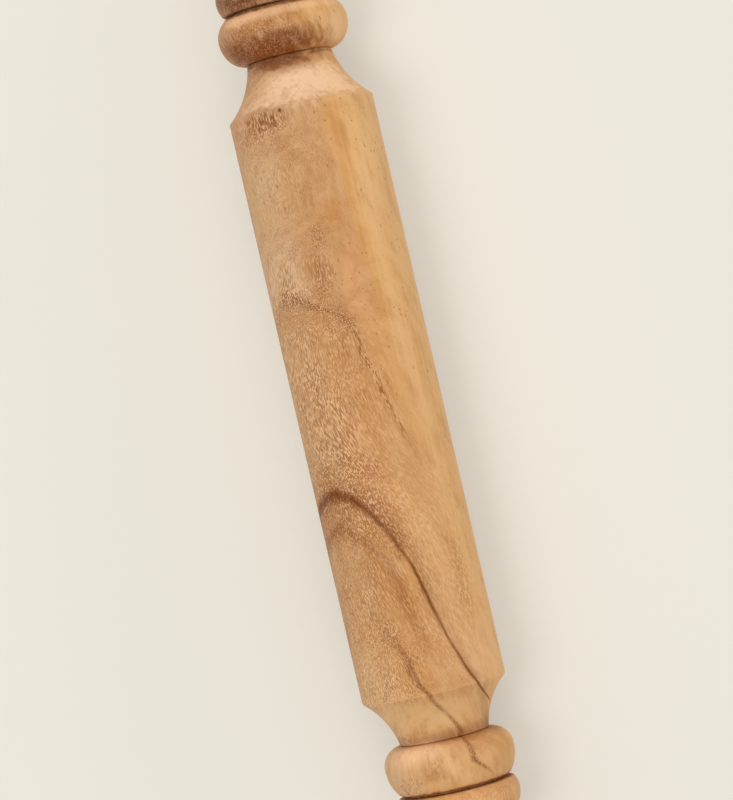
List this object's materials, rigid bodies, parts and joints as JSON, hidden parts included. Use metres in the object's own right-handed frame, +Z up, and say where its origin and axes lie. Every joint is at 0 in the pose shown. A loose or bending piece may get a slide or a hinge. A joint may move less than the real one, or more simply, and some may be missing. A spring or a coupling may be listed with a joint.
{
  "type": "rolling pin",
  "caption": "Turned wooden rolling pin: a straight barrel with coves and beads at both ends, and turned handles that spin on a steel rod through the pin.",
  "frame": {"origin": "on the pin's axis, at the middle of its overall length", "axes": "+X along the pin towards the right handle, +Z up; the pin lies on a table at z = -24.5 mm"},
  "size_m": [0.461, 0.049, 0.049],
  "materials": {
    "barrel_wood": "oiled, satin",
    "handle_wood": "oiled, satin",
    "cap_wood": "oiled, satin",
    "steel": "bright drawn",
    "nylon": "moulded, matt"
  },
  "bodies": {
    "barrel": {"barrel": "barrel_wood", "barrel_bush_left": "nylon", "barrel_bush_right": "nylon"},
    "axle": {"axle_rod": "steel", "thrust_washer_left": "nylon", "thrust_washer_right": "nylon", "end_washer_left": "steel", "end_washer_right": "steel", "lock_nut_left": "steel", "lock_nut_right": "steel"},
    "handle_left": {"handle_left": "handle_wood", "handle_bush_inner_left": "nylon", "handle_bush_outer_left": "nylon", "end_cap_left": "cap_wood"},
    "handle_right": {"handle_right": "handle_wood", "handle_bush_inner_right": "nylon", "handle_bush_outer_right": "nylon", "end_cap_right": "cap_wood"}
  },
  "joints": [
    {"name": "axle_spin", "type": "hinge", "parent": "barrel", "child": "axle", "pos_m": [0, 0, 0], "axis": [1, 0, 0], "continuous": true},
    {"name": "handle_left_spin", "type": "hinge", "parent": "axle", "child": "handle_left", "pos_m": [-0.177, 0, 0], "axis": [1, 0, 0], "continuous": true},
    {"name": "handle_right_spin", "type": "hinge", "parent": "axle", "child": "handle_right", "pos_m": [0.177, 0, 0], "axis": [1, 0, 0], "continuous": true}
  ]
}
